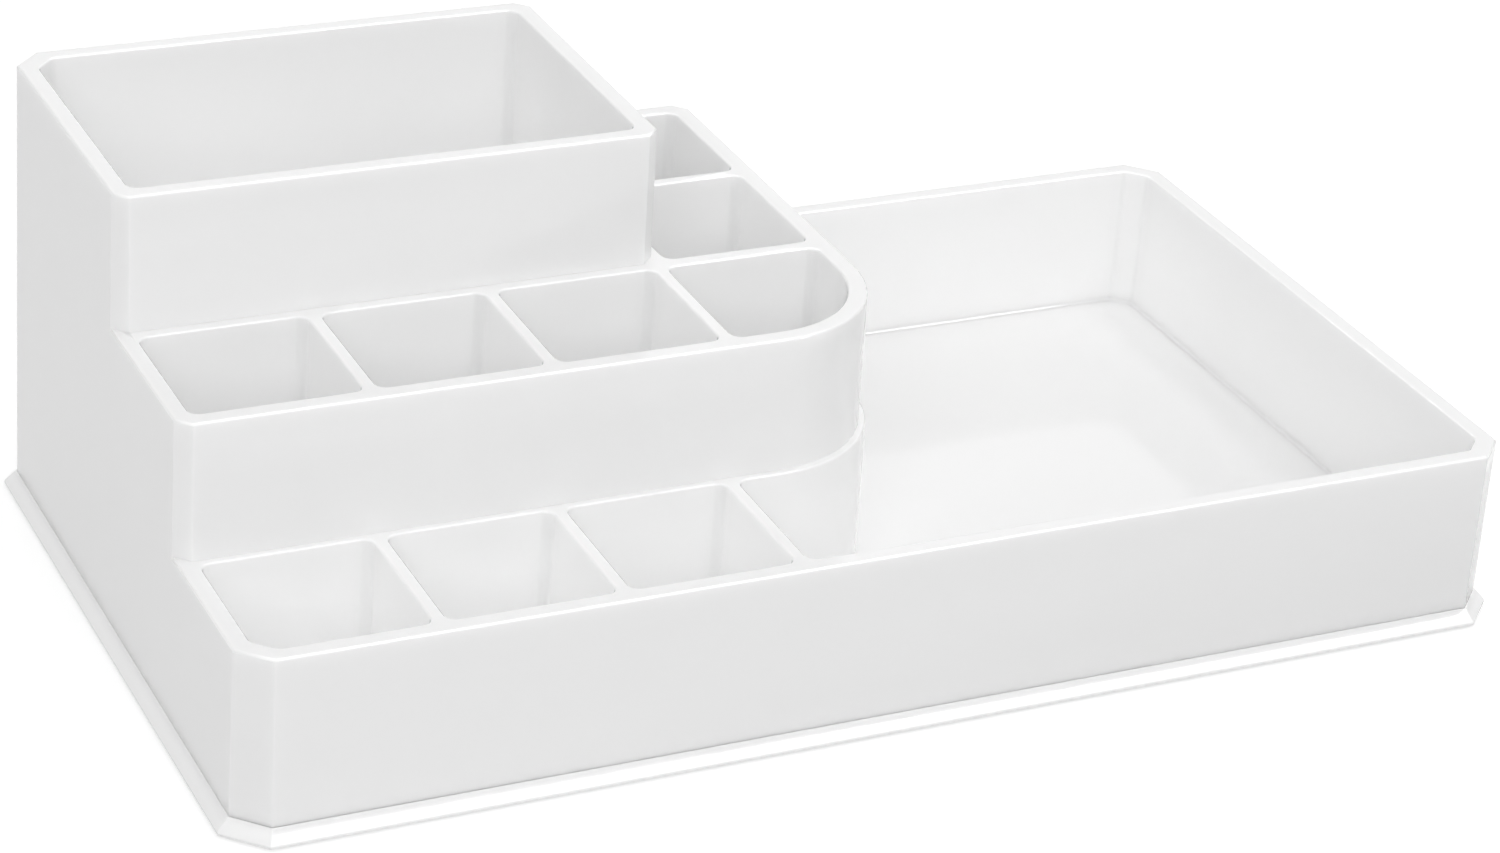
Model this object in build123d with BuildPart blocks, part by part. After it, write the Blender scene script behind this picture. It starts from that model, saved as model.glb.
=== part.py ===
"""Desk-top makeup organizer in three stepped tiers.

An open-topped moulding holds eleven compartments: a tall bin at the back left, a mid tier of six
cells that wraps round the bin, and a lower tier of three cells beside a wide tray. The tray runs
round the curved wall of the mid tier. The moulding is bonded to a flared base plate that stands on
four rubber feet.

All sizes are in millimetres. The frame has its origin on the desk, under the middle of the base:
+X runs along the length to the right, +Y runs from the front to the back and +Z is up.
"""

import os
from math import atan, degrees, radians, tan

from build123d import *

# Overall sizes, measured outside the walls at the rim of the lower tier.
LENGTH = 280.0
DEPTH = 157.0

# Height of each rim above the desk.
LOWER_RIM = 40.0
MID_RIM = 69.5
TALL_RIM = 98.5

# Where the two upper tiers end at their own rims, from the left wall and from the front wall.
MID_WIDTH = 155.8
MID_FRONT = 40.2
MID_CORNER_RADIUS = 28.0
TALL_WIDTH = 116.0
TALL_FRONT = 81.3

# Walls, dividers and the ledges at the foot of each upper tier, measured at the rims.
WALL = 4.1
DIVIDER = 3.0
SIDE_WALL = 3.7
LOWER_LEDGE = 1.9
MID_LEDGE = 3.0

# Cells. The front cells of the lower and mid tiers stand in line.
FRONT_CELLS = 3
SIDE_CELL_LENGTH = 35.1

# Corners and edges.
CORNER_CHAMFER = 6.5
STEP_CHAMFER = 3.4
CELL_CORNER_RADIUS = 2.2
RIM_RADIUS = 0.5
RIM_BREAK = 0.45
FLOOR_BREAK = 0.8

# Draft in degrees: the outer walls lean in as they rise and the pockets widen as they rise.
OUTER_DRAFT = 0.7
POCKET_DRAFT = 0.5

# Base plate and the floor that the moulding lays on it.
BASE_HEIGHT = 3.0
BASE_LIP = 0.6
BASE_LEDGE = 0.4
BASE_FLARE = 2.1
FLOOR_THICKNESS = 2.7

# Register that centres the moulding on the base plate.
REGISTER_INSET = 5.0
REGISTER_HEIGHT = 0.8
REGISTER_CLEARANCE = 0.15

# Hollow underside of the base plate and its stiffening ribs.
UNDERSIDE_RIM = 5.0
UNDERSIDE_DEPTH = 1.2
RIB_WIDTH = 1.6
RIB_RELIEF = 0.3
RIBS_ACROSS = 5
RIBS_ALONG = 2

# Rubber feet, each bonded into a collar under the base plate.
FOOT_DIAMETER = 12.0
FOOT_PROUD = 0.6
FOOT_INSET = 17.0
FOOT_EDGE = 0.4
FOOT_CLEARANCE = 0.15
COLLAR_WALL = 1.8

# A cutter runs this far past the face that it opens.
OVERSHOOT = 1.0

BASE_BOTTOM = FOOT_PROUD
BASE_TOP = BASE_BOTTOM + BASE_HEIGHT
FLOOR_TOP = BASE_TOP + FLOOR_THICKNESS

LEFT = -LENGTH / 2
RIGHT = LENGTH / 2
FRONT = -DEPTH / 2
BACK = DEPTH / 2

CELL_PITCH = (TALL_WIDTH - WALL + DIVIDER / 2) / FRONT_CELLS
CELL_WIDTH = CELL_PITCH - DIVIDER

# A line set in by this share of a corner's two sides keeps a 45-degree chamfer parallel to itself.
CHAMFER_SHARE = 2 - 2 ** 0.5


def spread(rim):
    """How far an outer wall has spread at its foot below the given rim."""
    return (rim - BASE_TOP) * tan(radians(OUTER_DRAFT))


def lean(rim):
    """How far the left and back walls lean in at the given rim, from the lower tier's rim."""
    return spread(rim) - spread(LOWER_RIM)


FOOT_LEFT = LEFT - spread(LOWER_RIM)
FOOT_RIGHT = RIGHT + spread(LOWER_RIM)
FOOT_FRONT = FRONT - spread(LOWER_RIM)
FOOT_BACK = BACK + spread(LOWER_RIM)


def straight_outline(left, right, front, back, chamfers=(0, 0, 0, 0)):
    """A closed rectangle whose corners may be cut at 45 degrees.

    The chamfers are in the order front left, front right, back right, back left.
    """
    corners = (
        (left, front, ((0, 1), (1, 0))),
        (right, front, ((-1, 0), (0, 1))),
        (right, back, ((0, -1), (-1, 0))),
        (left, back, ((1, 0), (0, -1))),
    )
    points = []
    for (x, y, ways), chamfer in zip(corners, chamfers):
        if chamfer:
            points.extend((x + way_x * chamfer, y + way_y * chamfer) for way_x, way_y in ways)
        else:
            points.append((x, y))
    with BuildLine() as outline:
        Polyline(*points, close=True)
    return outline.line


def wall_foot_outline(grow):
    """The outline of the outer walls where they meet the base plate, grown outwards."""
    return straight_outline(
        FOOT_LEFT - grow,
        FOOT_RIGHT + grow,
        FOOT_FRONT - grow,
        FOOT_BACK + grow,
        [CORNER_CHAMFER + grow * CHAMFER_SHARE] * 4,
    )


def raise_block(outline, rim, wide_corner=None, wide_radius=0):
    """A solid tier: the outline of its foot raised with draft, its rim rounded outside.

    One corner of the outline may have a wide radius of its own.
    """
    with BuildPart() as block:
        with BuildSketch(Plane.XY.offset(BASE_TOP)) as foot:
            add(outline)
            make_face()
            if wide_corner:
                fillet(foot.vertices().sort_by_distance(wide_corner)[0], wide_radius)
        extrude(amount=rim - BASE_TOP, taper=OUTER_DRAFT)
        fillet(block.faces().sort_by(Axis.Z)[-1].edges(), RIM_RADIUS)
    return block.part


def lower_block():
    return raise_block(wall_foot_outline(0), LOWER_RIM)


def mid_block():
    right = LEFT + MID_WIDTH + spread(MID_RIM)
    front = FRONT + MID_FRONT - spread(MID_RIM)
    outline = straight_outline(
        FOOT_LEFT, right, front, FOOT_BACK, (STEP_CHAMFER, 0, STEP_CHAMFER, CORNER_CHAMFER)
    )
    return raise_block(outline, MID_RIM, (right, front), MID_CORNER_RADIUS + spread(MID_RIM))


def tall_block():
    outline = straight_outline(
        FOOT_LEFT,
        LEFT + TALL_WIDTH + spread(TALL_RIM),
        FRONT + TALL_FRONT - spread(TALL_RIM),
        FOOT_BACK,
        (STEP_CHAMFER, STEP_CHAMFER, STEP_CHAMFER, CORNER_CHAMFER),
    )
    return raise_block(outline, TALL_RIM)


def inner_chamfer(outer_chamfer):
    """The chamfer inside a cut corner that keeps the wall's thickness, or none."""
    inner = outer_chamfer - WALL * CHAMFER_SHARE
    return inner if inner > CELL_CORNER_RADIUS else 0


def upright_edges(solid):
    """The edges of a drafted solid that run up its corners."""
    return solid.edges() - solid.faces().filter_by(Axis.Z).edges()


def sink_pocket(outline, rim, wide_corner=None, wide_radius=0):
    """The space of one compartment: its opening at the rim, narrowed with draft to the floor.

    One corner of the opening may have a wide radius of its own.
    """
    narrowing = (rim - FLOOR_TOP) * tan(radians(POCKET_DRAFT))
    with BuildPart() as pocket:
        with BuildSketch(Plane.XY.offset(FLOOR_TOP)):
            add(outline)
            make_face()
            offset(amount=-narrowing, kind=Kind.INTERSECTION, mode=Mode.REPLACE)
        extrude(amount=rim - FLOOR_TOP + OVERSHOOT, taper=-POCKET_DRAFT)
        corners = upright_edges(pocket)
        if wide_corner:
            corners = corners.sort_by_distance((*wide_corner, FLOOR_TOP))[1:]
        fillet(corners, CELL_CORNER_RADIUS)
        if wide_corner:
            corners = upright_edges(pocket).sort_by_distance((*wide_corner, FLOOR_TOP))
            fillet(corners[0], wide_radius)
        chamfer(pocket.faces().sort_by(Axis.Z)[0].edges(), FLOOR_BREAK)
    return pocket.part


def front_row(front, back, first_chamfer, rim):
    """The cells in line behind one front wall; the first one lies in the corner."""
    pockets = []
    for column in range(FRONT_CELLS):
        left = LEFT + WALL + column * CELL_PITCH
        chamfer = 0 if column else first_chamfer
        outline = straight_outline(left, left + CELL_WIDTH, front, back, (chamfer, 0, 0, 0))
        pockets.append(sink_pocket(outline, rim))
    return pockets


def corner_cell():
    """The mid tier's cell inside the large rounded corner."""
    left = LEFT + WALL + FRONT_CELLS * CELL_PITCH
    right = LEFT + MID_WIDTH - WALL
    front = FRONT + MID_FRONT + WALL
    outline = straight_outline(left, right, front, FRONT + TALL_FRONT - MID_LEDGE)
    return sink_pocket(outline, MID_RIM, (right, front), MID_CORNER_RADIUS - WALL)


def side_cells():
    """The mid tier's two cells between the tall bin and the tray."""
    left = LEFT + TALL_WIDTH + MID_LEDGE
    right = LEFT + MID_WIDTH - WALL
    front = FRONT + TALL_FRONT - MID_LEDGE + SIDE_WALL
    middle = front + SIDE_CELL_LENGTH
    back = BACK - lean(MID_RIM) - WALL
    near = straight_outline(left, right, front, middle)
    far = straight_outline(
        left, right, middle + DIVIDER, back, (0, 0, inner_chamfer(STEP_CHAMFER), 0)
    )
    return [sink_pocket(near, MID_RIM), sink_pocket(far, MID_RIM)]


def tall_bin():
    step = inner_chamfer(STEP_CHAMFER)
    outline = straight_outline(
        LEFT + lean(TALL_RIM) + WALL,
        LEFT + TALL_WIDTH - WALL,
        FRONT + TALL_FRONT + WALL,
        BACK - lean(TALL_RIM) - WALL,
        (step, step, step, inner_chamfer(CORNER_CHAMFER)),
    )
    return sink_pocket(outline, TALL_RIM)


def tray():
    """The wide tray, which wraps round the foot of the mid tier's curved wall."""
    left = LEFT + WALL + FRONT_CELLS * CELL_PITCH
    right = RIGHT - WALL
    front = FRONT + WALL
    back = BACK - WALL
    inner_right = LEFT + MID_WIDTH + LOWER_LEDGE
    inner_front = FRONT + MID_FRONT - LOWER_LEDGE
    chamfer = inner_chamfer(CORNER_CHAMFER)
    with BuildLine() as outline:
        Polyline(
            (inner_right, inner_front),
            (left, inner_front),
            (left, front),
            (right - chamfer, front),
            (right, front + chamfer),
            (right, back - chamfer),
            (right - chamfer, back),
            (inner_right, back),
            close=True,
        )
    radius = MID_CORNER_RADIUS + LOWER_LEDGE
    return sink_pocket(outline.line, LOWER_RIM, (inner_right, inner_front), radius)


def all_pockets():
    pockets = front_row(
        FRONT + WALL,
        FRONT + MID_FRONT - LOWER_LEDGE,
        inner_chamfer(CORNER_CHAMFER),
        LOWER_RIM,
    )
    pockets += front_row(
        FRONT + MID_FRONT + WALL,
        FRONT + TALL_FRONT - MID_LEDGE,
        inner_chamfer(STEP_CHAMFER),
        MID_RIM,
    )
    pockets += [corner_cell(), *side_cells(), tall_bin(), tray()]
    return pockets


def break_openings(moulding, rim):
    """Break the edge of every compartment that opens at the given rim."""
    for face in moulding.faces().filter_by(Axis.Z).filter_by_position(Axis.Z, rim, rim):
        edges = [edge for wire in face.inner_wires() for edge in wire.edges()]
        chamfer(edges, RIM_BREAK)


# The moulding: three stacked tiers with a pocket sunk for each compartment.
tiers = [lower_block(), mid_block(), tall_block()]
pockets = all_pockets()
with BuildPart() as compartment_body:
    for tier in tiers:
        add(tier)
    for pocket in pockets:
        add(pocket, mode=Mode.SUBTRACT)
    for rim in (LOWER_RIM, MID_RIM, TALL_RIM):
        break_openings(compartment_body, rim)
    with BuildSketch(Plane.XY.offset(BASE_TOP)):
        add(wall_foot_outline(REGISTER_CLEARANCE - REGISTER_INSET))
        make_face()
    extrude(amount=REGISTER_HEIGHT + REGISTER_CLEARANCE, mode=Mode.SUBTRACT)

# The base plate: a lip, a flared edge, the register on top and a ribbed hollow underneath.
foot_spots = GridLocations(LENGTH - 2 * FOOT_INSET, DEPTH - 2 * FOOT_INSET, 2, 2)
collar_radius = FOOT_DIAMETER / 2 + FOOT_CLEARANCE + COLLAR_WALL
hollow_length = FOOT_RIGHT - FOOT_LEFT - 2 * UNDERSIDE_RIM
hollow_depth = FOOT_BACK - FOOT_FRONT - 2 * UNDERSIDE_RIM
hollow_top = BASE_BOTTOM + UNDERSIDE_DEPTH
flare_height = BASE_HEIGHT - BASE_LIP
with BuildPart() as base_plate:
    with BuildSketch(Plane.XY.offset(BASE_BOTTOM)):
        add(wall_foot_outline(BASE_LEDGE + BASE_FLARE))
        make_face()
    extrude(amount=BASE_LIP)
    with BuildSketch(Plane.XY.offset(BASE_BOTTOM + BASE_LIP)):
        add(wall_foot_outline(BASE_LEDGE + BASE_FLARE))
        make_face()
    extrude(amount=flare_height, taper=degrees(atan(BASE_FLARE / flare_height)))
    with BuildSketch(Plane.XY.offset(BASE_TOP)):
        add(wall_foot_outline(-REGISTER_INSET))
        make_face()
    extrude(amount=REGISTER_HEIGHT)
    with BuildSketch(Plane.XY.offset(BASE_BOTTOM)):
        add(wall_foot_outline(-UNDERSIDE_RIM))
        make_face()
    extrude(amount=UNDERSIDE_DEPTH, mode=Mode.SUBTRACT)
    with BuildSketch(Plane.XY.offset(BASE_BOTTOM + RIB_RELIEF)):
        with GridLocations(hollow_length / (RIBS_ACROSS + 1), 0, RIBS_ACROSS, 1):
            Rectangle(RIB_WIDTH, hollow_depth)
        with GridLocations(0, hollow_depth / (RIBS_ALONG + 1), 1, RIBS_ALONG):
            Rectangle(hollow_length, RIB_WIDTH)
    extrude(amount=UNDERSIDE_DEPTH - RIB_RELIEF)
    with BuildSketch(Plane.XY.offset(BASE_BOTTOM)):
        with foot_spots:
            Circle(collar_radius)
    extrude(amount=UNDERSIDE_DEPTH)
    with BuildSketch(Plane.XY.offset(BASE_BOTTOM)):
        with foot_spots:
            Circle(FOOT_DIAMETER / 2 + FOOT_CLEARANCE)
    extrude(amount=UNDERSIDE_DEPTH, mode=Mode.SUBTRACT)

os.makedirs("parts", exist_ok=True)
compartment_body.part.label = "compartment_body"
export_step(compartment_body.part, "parts/compartment_body.step")
base_plate.part.label = "base_plate"
export_step(base_plate.part, "parts/base_plate.step")

# The rubber feet: a disc at each corner, bonded up into its collar.
for end, end_x in (("front", FRONT + FOOT_INSET), ("back", BACK - FOOT_INSET)):
    for side, side_x in (("left", LEFT + FOOT_INSET), ("right", RIGHT - FOOT_INSET)):
        with BuildPart() as foot:
            with BuildSketch():
                with Locations((side_x, end_x)):
                    Circle(FOOT_DIAMETER / 2)
            extrude(amount=hollow_top)
            chamfer(foot.edges().sort_by(Axis.Z)[0], FOOT_EDGE)
        name = f"foot_{end}_{side}"
        foot.part.label = name
        export_step(foot.part, f"parts/{name}.step")
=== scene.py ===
"""Looks of the makeup organizer: a glossy white moulding, its flared base and four rubber feet."""

import math

import bmesh
import bpy
import numpy as np
from bpy.props import FloatProperty, FloatVectorProperty, PointerProperty, StringProperty
from bpy.types import Operator, Panel, PropertyGroup
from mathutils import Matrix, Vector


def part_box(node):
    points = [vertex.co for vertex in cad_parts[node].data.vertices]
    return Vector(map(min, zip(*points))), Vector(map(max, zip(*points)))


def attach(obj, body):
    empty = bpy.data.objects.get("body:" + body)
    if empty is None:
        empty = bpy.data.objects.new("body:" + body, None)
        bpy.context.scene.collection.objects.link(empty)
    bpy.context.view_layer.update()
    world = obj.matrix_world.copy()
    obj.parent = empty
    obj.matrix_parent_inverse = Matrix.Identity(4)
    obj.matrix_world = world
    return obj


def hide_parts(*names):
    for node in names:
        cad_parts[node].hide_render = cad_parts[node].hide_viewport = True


bl_info = {
    "name": "Makeup Organizer Looks",
    "version": (1, 0, 0),
    "blender": (4, 5, 0),
    "location": "3D View > Sidebar > Organizer",
    "description": "Rounds, finishes and lights a moulded makeup organizer",
    "category": "Object",
}

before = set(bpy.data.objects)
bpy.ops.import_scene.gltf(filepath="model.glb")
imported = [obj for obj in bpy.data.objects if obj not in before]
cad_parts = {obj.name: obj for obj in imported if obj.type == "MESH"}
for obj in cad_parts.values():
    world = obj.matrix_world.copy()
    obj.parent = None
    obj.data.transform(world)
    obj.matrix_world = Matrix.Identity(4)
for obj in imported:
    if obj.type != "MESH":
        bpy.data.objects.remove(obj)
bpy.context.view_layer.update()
FEET = ("foot_front_left", "foot_front_right", "foot_back_left", "foot_back_right")
WHITE = (1.0, 1.0, 1.0, 1.0)

# The level at which the moulding stands on its base. An edge within SEAM_REACH of it is on the seam.
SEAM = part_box("compartment_body")[0].z
SEAM_REACH = 0.0001

# An edge is rounded where it turns more than ROUNDED_ANGLE between faces wider than ROUNDED_FACE.
# Any other edge stays crisp where it turns more than TIGHT_ANGLE.
ROUNDED_ANGLE = math.radians(30.0)
ROUNDED_FACE = 0.0012
TIGHT_ANGLE = math.radians(60.0)

# Points nearer than MERGE_DISTANCE become one, and so do faces that turn less than FLAT_ANGLE.
MERGE_DISTANCE = 1e-6
FLAT_ANGLE = math.radians(0.15)


class MouldingSettings(PropertyGroup):
    """Sizes and colours of the glossy white polystyrene."""

    colour: StringProperty(
        name="Plastic colour",
        description="sRGB hex colour of the compartments",
        default="#FEFEFE",
    )
    base_colour: StringProperty(
        name="Base colour",
        description="sRGB hex colour of the flared base",
        default="#FEFEFE",
    )
    glow: FloatProperty(
        name="Glow",
        description="Share of the light that goes under the skin of the compartments",
        default=1.0,
        min=0.0,
        max=1.0,
        subtype="FACTOR",
    )
    base_glow: FloatProperty(
        name="Base glow",
        description="Share of the light that goes under the skin of the flared base",
        default=0.2,
        min=0.0,
        max=1.0,
        subtype="FACTOR",
    )
    glow_depth: FloatProperty(
        name="Glow depth",
        description="How far light travels under the skin",
        default=0.0016,
        min=0.0,
        unit="LENGTH",
        subtype="DISTANCE",
    )
    edge_radius: FloatProperty(
        name="Edge radius",
        description="Rounding left by the mould on the edges that the CAD keeps sharp",
        default=0.00025,
        min=0.0,
        max=0.0004,
        unit="LENGTH",
        subtype="DISTANCE",
    )
    roughness: FloatProperty(
        name="Gloss roughness",
        description="Roughness that the polished mould gives the gloss",
        default=0.08,
        min=0.0,
        max=1.0,
        subtype="FACTOR",
    )
    sink_width: FloatProperty(
        name="Sink width",
        description="Width of the shallow waves that shrinkage leaves in a flat wall",
        default=0.034,
        min=0.001,
        unit="LENGTH",
        subtype="DISTANCE",
    )
    grain_width: FloatProperty(
        name="Orange peel width",
        description="Width of the fine ripples in the gloss",
        default=0.0018,
        min=0.0001,
        unit="LENGTH",
        subtype="DISTANCE",
    )


class FootSettings(PropertyGroup):
    """Sizes and colours of the rubber feet."""

    colour: StringProperty(
        name="Rubber colour",
        description="sRGB hex colour of the feet",
        default="#C9C9C6",
    )
    grain_width: FloatProperty(
        name="Rubber grain width",
        description="Width of the pits in the rubber's matt face",
        default=0.0004,
        min=0.00005,
        unit="LENGTH",
        subtype="DISTANCE",
    )


class StudioSettings(PropertyGroup):
    """The floor, the light and the camera."""

    floor_colour: StringProperty(
        name="Floor colour",
        description="sRGB hex colour of the floor's paint",
        default="#DADADA",
    )
    floor_lift: FloatProperty(
        name="Floor lift",
        description="Light on the floor that only the camera and the gloss see",
        default=0.44,
        min=0.0,
    )
    floor_width: FloatProperty(
        name="Floor width",
        description="Width of the square floor",
        default=8.0,
        min=1.0,
        unit="LENGTH",
        subtype="DISTANCE",
    )
    horizon_light: FloatProperty(
        name="Horizon light",
        description="Strength of the room's light from the sides",
        default=0.22,
        min=0.0,
    )
    ceiling_light: FloatProperty(
        name="Ceiling light",
        description="Strength of the room's light from straight above",
        default=0.88,
        min=0.0,
    )
    mirrored_strip: FloatProperty(
        name="Mirrored strip",
        description="Strength of the long strip overhead at the right that only the gloss mirrors",
        default=7.5,
        min=1.0,
    )
    top_light: FloatProperty(
        name="Top strip",
        description="Power of the narrow strip overhead, in watts",
        default=1.3,
        min=0.0,
    )
    front_light: FloatProperty(
        name="Front soft box",
        description="Power of the soft box in front at the left, in watts",
        default=8.3,
        min=0.0,
    )
    back_light: FloatProperty(
        name="Back panel",
        description="Power of the panel behind, which the gloss of the tray mirrors, in watts",
        default=1.3,
        min=0.0,
    )
    side_light: FloatProperty(
        name="Side soft box",
        description="Power of the soft box at the right, which reaches the curved wall, in watts",
        default=1.5,
        min=0.0,
    )
    camera_place: FloatVectorProperty(
        name="Camera place",
        description="Where the camera stands",
        default=(-0.35294, -0.70183, 0.43370),
        subtype="TRANSLATION",
        unit="LENGTH",
    )
    camera_turn: FloatVectorProperty(
        name="Camera turn",
        description="The camera's XYZ turn",
        default=(math.radians(62.6625), math.radians(-3.8595), math.radians(-24.6774)),
        subtype="EULER",
        unit="ROTATION",
    )
    camera_lens: FloatProperty(
        name="Lens",
        description="Focal length in millimetres on a 36 mm wide sensor",
        default=99.36,
        min=1.0,
    )


def linear(colour, share=1.0):
    """Linear RGBA of an sRGB hex colour, with its light scaled to that share."""
    text = colour.lstrip("#")
    srgb = np.array([int(text[i : i + 2], 16) for i in (0, 2, 4)]) / 255.0
    low = srgb / 12.92
    high = ((srgb + 0.055) / 1.055) ** 2.4
    return (*(share * np.where(srgb <= 0.04045, low, high)).tolist(), 1.0)


def add_node(tree, kind, settings=None, links=None, values=None, **inputs):
    """Adds a node with its settings and links, and sets inputs by number in values or by name."""
    node = tree.nodes.new(kind)
    for name, value in (settings or {}).items():
        setattr(node, name, value)
    for number, value in (values or {}).items():
        node.inputs[number].default_value = value
    for name, value in inputs.items():
        node.inputs[name.replace("_", " ")].default_value = value
    for name, source in (links or {}).items():
        tree.links.new(source, node.inputs[name])
    return node


def empty_material(name):
    """A new material with no nodes in its tree."""
    material = bpy.data.materials.new(name)
    material.use_nodes = True
    material.node_tree.nodes.clear()
    return material


def gloss_polystyrene(name, colour, glow, look):
    """High impact polystyrene from a polished mould.

    It is opaque white with a little light under the skin, and its gloss is clean but never flat:
    walls keep shallow sinks from shrinkage, and the skin a fine orange peel.
    """
    material = empty_material(name)
    tree = material.node_tree
    place = add_node(tree, "ShaderNodeTexCoord")
    # The plastic flowed along the object's length, which draws the sinks out that way.
    flow = add_node(
        tree,
        "ShaderNodeMapping",
        links={"Vector": place.outputs["Object"]},
        Scale=(0.55, 1.0, 1.0),
    )
    sinks = add_node(
        tree,
        "ShaderNodeTexNoise",
        links={"Vector": flow.outputs["Vector"]},
        Scale=1.0 / look.sink_width,
        Detail=1.5,
        Roughness=0.45,
    )
    peel = add_node(
        tree,
        "ShaderNodeTexNoise",
        links={"Vector": place.outputs["Object"]},
        Scale=1.0 / look.grain_width,
        Detail=2.0,
        Roughness=0.5,
    )
    # Where the sinks dip, the colour is a hundredth darker, which is painted shade, and their gloss
    # varies by a seventh.
    tone = add_node(tree, "ShaderNodeValToRGB", links={"Fac": sinks.outputs["Fac"]})
    sink_painted_shade, shallow = tone.color_ramp.elements
    sink_painted_shade.position = 0.35
    sink_painted_shade.color = linear(colour, 0.99)
    shallow.position = 0.65
    shallow.color = linear(colour)
    gloss = add_node(
        tree,
        "ShaderNodeMapRange",
        links={"Value": sinks.outputs["Fac"]},
        To_Min=look.roughness * 0.85,
        To_Max=look.roughness * 1.15,
    )
    wave = add_node(
        tree,
        "ShaderNodeBump",
        links={"Height": sinks.outputs["Fac"]},
        Strength=0.4,
        Distance=0.00006,
    )
    skin = add_node(
        tree,
        "ShaderNodeBump",
        links={"Height": peel.outputs["Fac"], "Normal": wave.outputs["Normal"]},
        Strength=0.25,
        Distance=0.00001,
    )
    shader = add_node(
        tree,
        "ShaderNodeBsdfPrincipled",
        links={
            "Base Color": tone.outputs["Color"],
            "Roughness": gloss.outputs["Result"],
            "Normal": skin.outputs["Normal"],
        },
        IOR=1.59,
        Subsurface_Weight=glow,
        Subsurface_Radius=(1.0, 1.0, 1.0),
        Subsurface_Scale=look.glow_depth,
    )
    add_node(tree, "ShaderNodeOutputMaterial", links={"Surface": shader.outputs["BSDF"]})
    return material


def matt_rubber(name, look):
    """Pressed silicone rubber: matt, slightly dusty, with fine pits from the mould's etched face."""
    material = empty_material(name)
    tree = material.node_tree
    place = add_node(tree, "ShaderNodeTexCoord")
    pits = add_node(
        tree,
        "ShaderNodeTexNoise",
        links={"Vector": place.outputs["Object"]},
        Scale=1.0 / look.grain_width,
        Detail=3.0,
        Roughness=0.6,
    )
    # Dust gathers in patches a dozen pits wide, which are a tenth darker.
    dust = add_node(
        tree,
        "ShaderNodeTexNoise",
        links={"Vector": place.outputs["Object"]},
        Scale=1.0 / (12.0 * look.grain_width),
        Detail=2.0,
    )
    tone = add_node(tree, "ShaderNodeValToRGB", links={"Fac": dust.outputs["Fac"]})
    dusty, clean = tone.color_ramp.elements
    dusty.position = 0.3
    dusty.color = linear(look.colour, 0.9)
    clean.position = 0.7
    clean.color = linear(look.colour)
    grain = add_node(
        tree,
        "ShaderNodeBump",
        links={"Height": pits.outputs["Fac"]},
        Strength=0.5,
        Distance=0.00004,
    )
    shader = add_node(
        tree,
        "ShaderNodeBsdfPrincipled",
        links={"Base Color": tone.outputs["Color"], "Normal": grain.outputs["Normal"]},
        Roughness=0.62,
        IOR=1.43,
    )
    add_node(tree, "ShaderNodeOutputMaterial", links={"Surface": shader.outputs["BSDF"]})
    return material


def seen_directly(tree):
    """1 for rays from the camera, off gloss and through glass, and 0 for rays that light things."""
    path = add_node(tree, "ShaderNodeLightPath")
    mirror = add_node(
        tree,
        "ShaderNodeMath",
        settings={"operation": "MAXIMUM"},
        links={0: path.outputs["Is Glossy Ray"], 1: path.outputs["Is Transmission Ray"]},
    )
    seen = add_node(
        tree,
        "ShaderNodeMath",
        settings={"operation": "MAXIMUM"},
        links={0: path.outputs["Is Camera Ray"], 1: mirror.outputs["Value"]},
    )
    return seen.outputs["Value"]


def white_sweep(name, studio):
    """Painted studio floor: a plain white that renders as white, and keeps the object's shadow."""
    material = empty_material(name)
    tree = material.node_tree
    paint = add_node(tree, "ShaderNodeBsdfDiffuse", Color=linear(studio.floor_colour))
    strength = add_node(
        tree,
        "ShaderNodeMath",
        settings={"operation": "MULTIPLY"},
        links={0: seen_directly(tree)},
        values={1: studio.floor_lift},
    )
    lift = add_node(
        tree, "ShaderNodeEmission", links={"Strength": strength.outputs["Value"]}, Color=WHITE
    )
    both = add_node(
        tree,
        "ShaderNodeAddShader",
        links={0: paint.outputs["BSDF"], 1: lift.outputs["Emission"]},
    )
    add_node(tree, "ShaderNodeOutputMaterial", links={"Surface": both.outputs["Shader"]})
    return material


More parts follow.
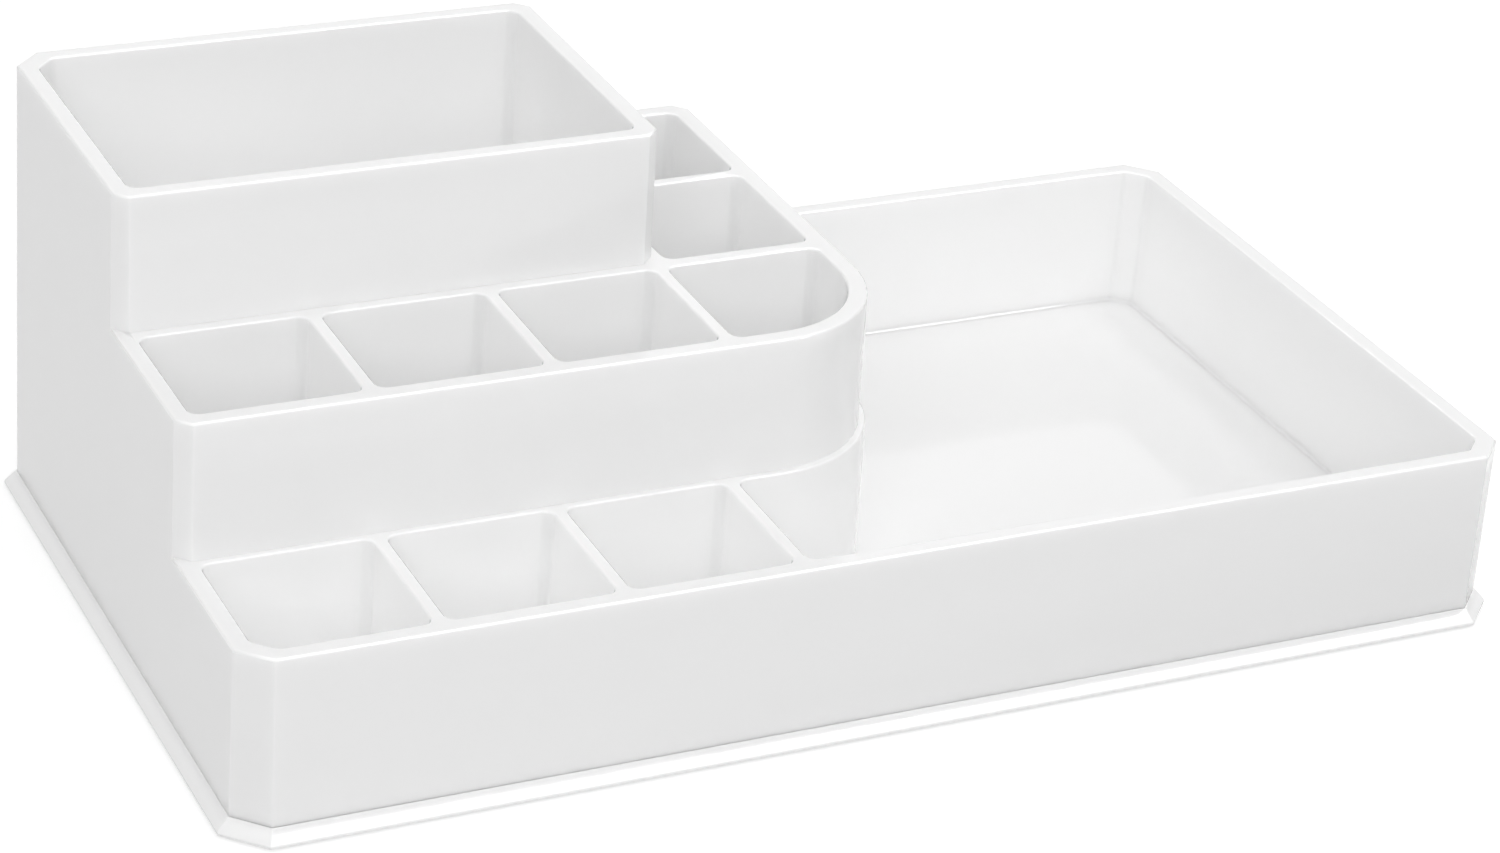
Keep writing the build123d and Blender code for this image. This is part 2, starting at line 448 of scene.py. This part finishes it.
def soft_room(name, studio):
    """A white room that lights things more from above than from the sides.

    The camera sees it plain white. The gloss also mirrors a long bright strip overhead at the
    right, which draws the front edges of the rims. In unit directions the strip is where x is
    within 0.12 of 0.4 and z is over 0.64, and it fades out where x is 0.22 off or z is 0.52.
    """
    world = bpy.data.worlds.new(name)
    world.use_nodes = True
    tree = world.node_tree
    tree.nodes.clear()
    way = add_node(tree, "ShaderNodeTexCoord")
    parts = add_node(tree, "ShaderNodeSeparateXYZ", links={"Vector": way.outputs["Generated"]})
    strength = add_node(
        tree,
        "ShaderNodeMapRange",
        links={"Value": parts.outputs["Z"]},
        To_Min=studio.horizon_light,
        To_Max=studio.ceiling_light,
    )
    room = add_node(
        tree, "ShaderNodeBackground", links={"Strength": strength.outputs["Result"]}, Color=WHITE
    )
    beside = add_node(
        tree,
        "ShaderNodeMath",
        settings={"operation": "SUBTRACT"},
        links={0: parts.outputs["X"]},
        values={1: 0.4},
    )
    off = add_node(
        tree,
        "ShaderNodeMath",
        settings={"operation": "ABSOLUTE"},
        links={0: beside.outputs["Value"]},
    )
    across = add_node(
        tree,
        "ShaderNodeMapRange",
        links={"Value": off.outputs["Value"]},
        From_Min=0.22,
        From_Max=0.12,
    )
    high = add_node(
        tree,
        "ShaderNodeMapRange",
        links={"Value": parts.outputs["Z"]},
        From_Min=0.52,
        From_Max=0.64,
    )
    strip = add_node(
        tree,
        "ShaderNodeMath",
        settings={"operation": "MULTIPLY"},
        links={0: across.outputs["Result"], 1: high.outputs["Result"]},
    )
    mirrored = add_node(
        tree,
        "ShaderNodeMapRange",
        links={"Value": strip.outputs["Value"]},
        To_Min=1.0,
        To_Max=studio.mirrored_strip,
    )
    shown = add_node(
        tree, "ShaderNodeBackground", links={"Strength": mirrored.outputs["Result"]}, Color=WHITE
    )
    pick = add_node(
        tree,
        "ShaderNodeMixShader",
        links={
            0: seen_directly(tree),
            1: room.outputs["Background"],
            2: shown.outputs["Background"],
        },
    )
    add_node(tree, "ShaderNodeOutputWorld", links={"Surface": pick.outputs["Shader"]})
    return world


def merged_copy(node, name):
    """A copy of a CAD node's mesh with its loose triangles joined and its flat faces made whole.

    A corner edge is marked for rounding where two faces wider than ROUNDED_FACE meet at more
    than ROUNDED_ANGLE. A face's width is its area over half its perimeter. The narrow faces
    beside other edges are the CAD's own fillets and chamfers. Inner corners and the edges on
    the level seam stay tight, so those steeper than TIGHT_ANGLE keep a crisp line.
    """
    mesh = node.data.copy()
    mesh.name = name
    if "custom_normal" in mesh.attributes:
        mesh.attributes.remove(mesh.attributes["custom_normal"])
    work = bmesh.new()
    work.from_mesh(mesh)
    bmesh.ops.remove_doubles(work, verts=work.verts, dist=MERGE_DISTANCE)
    bmesh.ops.dissolve_limit(work, angle_limit=FLAT_ANGLE, verts=work.verts, edges=work.edges)
    width = {face: 2.0 * face.calc_area() / face.calc_perimeter() for face in work.faces}
    mark = work.edges.layers.float.new("bevel_weight_edge")
    for edge in work.edges:
        angle = edge.calc_face_angle(0.0)
        wide = min(width[face] for face in edge.link_faces) > ROUNDED_FACE
        on_seam = all(abs(vertex.co.z - SEAM) < SEAM_REACH for vertex in edge.verts)
        rounded = edge.is_convex and angle > ROUNDED_ANGLE and wide and not on_seam
        edge[mark] = float(rounded)
        edge.smooth = rounded or angle < TIGHT_ANGLE
    for face in work.faces:
        face.smooth = True
    work.to_mesh(mesh)
    work.free()
    piece = bpy.data.objects.new(name, mesh)
    bpy.context.scene.collection.objects.link(piece)
    return piece


def soften_edges(piece, radius):
    """Rounds the marked edges, and lets the large faces set the shading of the narrow ones."""
    bevel = piece.modifiers.new("Mould radius", "BEVEL")
    bevel.width = radius
    bevel.segments = 3
    bevel.limit_method = "WEIGHT"
    # With the clamp on, the shortest edge of the piece would thin every radius to nothing.
    bevel.use_clamp_overlap = False
    weld = piece.modifiers.new("Closed slivers", "WELD")
    weld.merge_threshold = MERGE_DISTANCE
    shade = piece.modifiers.new("Face weighted shading", "WEIGHTED_NORMAL")
    shade.mode = "FACE_AREA"
    shade.weight = 60
    shade.keep_sharp = True


def give_material(piece, material):
    """Makes material the only one on a piece."""
    piece.data.materials.clear()
    piece.data.materials.append(material)


class ORGANIZER_OT_compartments(Operator):
    """Finishes the moulding with the stepped compartments and the tray"""

    bl_idname = "organizer.compartments"
    bl_label = "Compartments"

    def execute(self, context):
        look = context.scene.organizer_moulding
        piece = merged_copy(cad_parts["compartment_body"], "compartments")
        soften_edges(piece, look.edge_radius)
        plastic = gloss_polystyrene("White gloss polystyrene", look.colour, look.glow, look)
        give_material(piece, plastic)
        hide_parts("compartment_body")
        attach(piece, "root")
        return {"FINISHED"}


class ORGANIZER_OT_base(Operator):
    """Finishes the flared base plate under the compartments"""

    bl_idname = "organizer.base"
    bl_label = "Flared base"

    def execute(self, context):
        look = context.scene.organizer_moulding
        piece = merged_copy(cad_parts["base_plate"], "flared_base")
        soften_edges(piece, look.edge_radius)
        plastic = gloss_polystyrene(
            "White gloss polystyrene base", look.base_colour, look.base_glow, look
        )
        give_material(piece, plastic)
        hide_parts("base_plate")
        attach(piece, "root")
        return {"FINISHED"}


class ORGANIZER_OT_feet(Operator):
    """Finishes the four rubber feet"""

    bl_idname = "organizer.feet"
    bl_label = "Rubber feet"

    def execute(self, context):
        rubber = matt_rubber("Matt silicone rubber", context.scene.organizer_foot)
        for name in FEET:
            give_material(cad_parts[name], rubber)
        return {"FINISHED"}


def floor_surface(width, count):
    """Mesh of a level square at z = 0: x and y each run evenly over the width in count points."""
    across = np.linspace(-0.5 * width, 0.5 * width, count)
    x, y = np.meshgrid(across, across, indexing="ij")
    points = np.stack([x.ravel(), y.ravel(), np.zeros(x.size)], axis=1)
    corner = (np.arange(count - 1)[:, None] * count + np.arange(count - 1)[None, :]).ravel()
    faces = np.stack([corner, corner + count, corner + count + 1, corner + 1], axis=1)
    mesh = bpy.data.meshes.new("floor")
    mesh.from_pydata(points.tolist(), [], faces.tolist())
    return mesh


def soft_box(name, power, size, place, aim):
    """An area light of that width and height at place, turned to face aim with its width level."""
    lamp = bpy.data.lights.new(name, "AREA")
    lamp.shape = "RECTANGLE"
    lamp.size, lamp.size_y = size
    lamp.energy = power
    box = bpy.data.objects.new(name, lamp)
    box.location = place
    towards = np.array(aim) - np.array(place)
    tilt = math.atan2(math.hypot(towards[0], towards[1]), -towards[2])
    box.rotation_euler = (tilt, 0.0, math.atan2(-towards[0], towards[1]))
    bpy.context.scene.collection.objects.link(box)


def photo_camera(name, studio):
    """The camera at the photograph's angle."""
    data = bpy.data.cameras.new(name)
    data.sensor_width = 36.0
    data.sensor_fit = "HORIZONTAL"
    data.lens = studio.camera_lens
    data.clip_start = 0.01
    camera = bpy.data.objects.new(name, data)
    camera.location = studio.camera_place
    camera.rotation_euler = studio.camera_turn
    bpy.context.scene.collection.objects.link(camera)
    return camera


class ORGANIZER_OT_studio(Operator):
    """Sets the floor, the soft light and the camera"""

    bl_idname = "organizer.studio"
    bl_label = "Studio"

    def execute(self, context):
        scene = context.scene
        studio = scene.organizer_studio
        floor = bpy.data.objects.new("floor", floor_surface(studio.floor_width, 9))
        floor.data.materials.append(white_sweep("White painted floor", studio))
        scene.collection.objects.link(floor)

        # The power of each lamp in watts, its width and height, and its place.
        lamps = {
            "Top strip": (studio.top_light, (1.2, 0.1), (0.62, -0.05, 1.35)),
            "Front soft box": (studio.front_light, (1.0, 1.0), (-0.66, -1.20, 0.95)),
            "Back panel": (studio.back_light, (1.2, 1.2), (0.68, 1.34, 0.83)),
            "Side soft box": (studio.side_light, (0.8, 0.8), (1.15, -0.85, 0.60)),
        }
        middle = (0.0, 0.0, 0.05)
        for name, (power, size, place) in lamps.items():
            soft_box(name, power, size, place, middle)
        scene.world = soft_room("Soft room", studio)
        scene.camera = photo_camera("Photo camera", studio)
        scene.view_settings.view_transform = "Standard"
        # White cells keep passing light from wall to wall.
        scene.cycles.diffuse_bounces = 10
        return {"FINISHED"}


class ORGANIZER_PT_parts(Panel):
    """Lists the pieces of the organizer and their settings"""

    bl_idname = "ORGANIZER_PT_parts"
    bl_label = "Organizer"
    bl_space_type = "VIEW_3D"
    bl_region_type = "UI"
    bl_category = "Organizer"

    def draw(self, context):
        scene = context.scene
        groups = (
            (scene.organizer_moulding, (ORGANIZER_OT_compartments, ORGANIZER_OT_base)),
            (scene.organizer_foot, (ORGANIZER_OT_feet,)),
            (scene.organizer_studio, (ORGANIZER_OT_studio,)),
        )
        for settings, operators in groups:
            box = self.layout.box()
            for name in settings.__annotations__:
                box.prop(settings, name)
            for operator in operators:
                box.operator(operator.bl_idname)


CLASSES = (
    MouldingSettings,
    FootSettings,
    StudioSettings,
    ORGANIZER_OT_compartments,
    ORGANIZER_OT_base,
    ORGANIZER_OT_feet,
    ORGANIZER_OT_studio,
    ORGANIZER_PT_parts,
)


def register():
    for cls in CLASSES:
        bpy.utils.register_class(cls)
    bpy.types.Scene.organizer_moulding = PointerProperty(type=MouldingSettings)
    bpy.types.Scene.organizer_foot = PointerProperty(type=FootSettings)
    bpy.types.Scene.organizer_studio = PointerProperty(type=StudioSettings)


def unregister():
    del bpy.types.Scene.organizer_studio
    del bpy.types.Scene.organizer_foot
    del bpy.types.Scene.organizer_moulding
    for cls in reversed(CLASSES):
        bpy.utils.unregister_class(cls)


def main():
    register()
    bpy.ops.organizer.compartments()
    bpy.ops.organizer.base()
    bpy.ops.organizer.feet()
    bpy.ops.organizer.studio()


if __name__ == "__main__":
    main()
